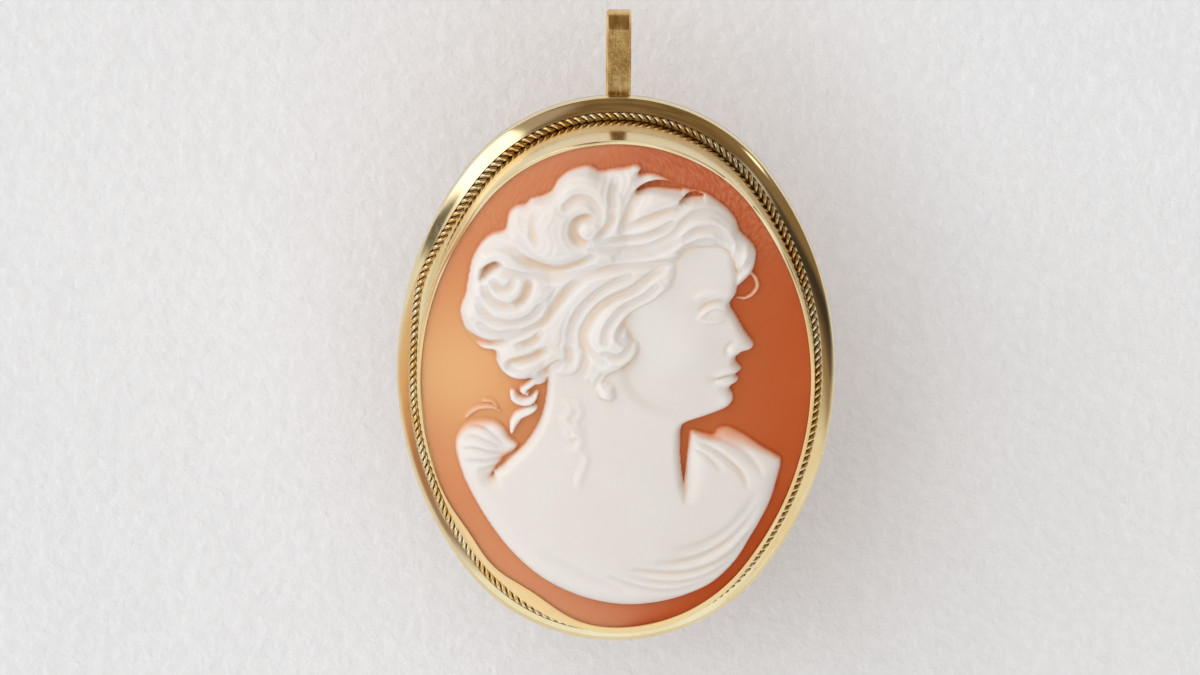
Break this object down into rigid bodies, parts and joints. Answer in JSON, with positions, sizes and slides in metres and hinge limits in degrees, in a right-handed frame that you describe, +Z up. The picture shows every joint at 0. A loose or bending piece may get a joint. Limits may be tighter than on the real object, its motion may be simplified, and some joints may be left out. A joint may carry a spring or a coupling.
{
  "type": "cameo pendant",
  "caption": "Oval carved shell cameo of a classical bust in a gold bezel with a rope wire border and domed flange, hanging from a hinged strap bail.",
  "frame": {"origin": "where a chain bears inside the top of the bail", "axes": "+Z up as it hangs, the carved face looks along -Y, +X to the wearer's left"},
  "size_m": [0.0328, 0.0156, 0.0482],
  "materials": {
    "gold": "polished yellow gold",
    "rope_gold": "polished yellow gold, darkened in the twist",
    "bail_gold": "worn yellow gold with fine scratches",
    "shell_ground": "polished translucent orange shell",
    "shell_figure": "satin carved white shell"
  },
  "bodies": {
    "bail": {"bail": "bail_gold"},
    "pendant": {"bezel_frame": "gold", "rope_wire": "rope_gold", "cameo_ground": "shell_ground", "cameo_figure": "shell_figure", "hinge_pin": "gold"}
  },
  "joints": [
    {"name": "bail_hinge", "type": "hinge", "parent": "bail", "child": "pendant", "pos_m": [0, 0, -0.00675], "axis": [1, 0, 0], "range_deg": [-20, 165]}
  ]
}
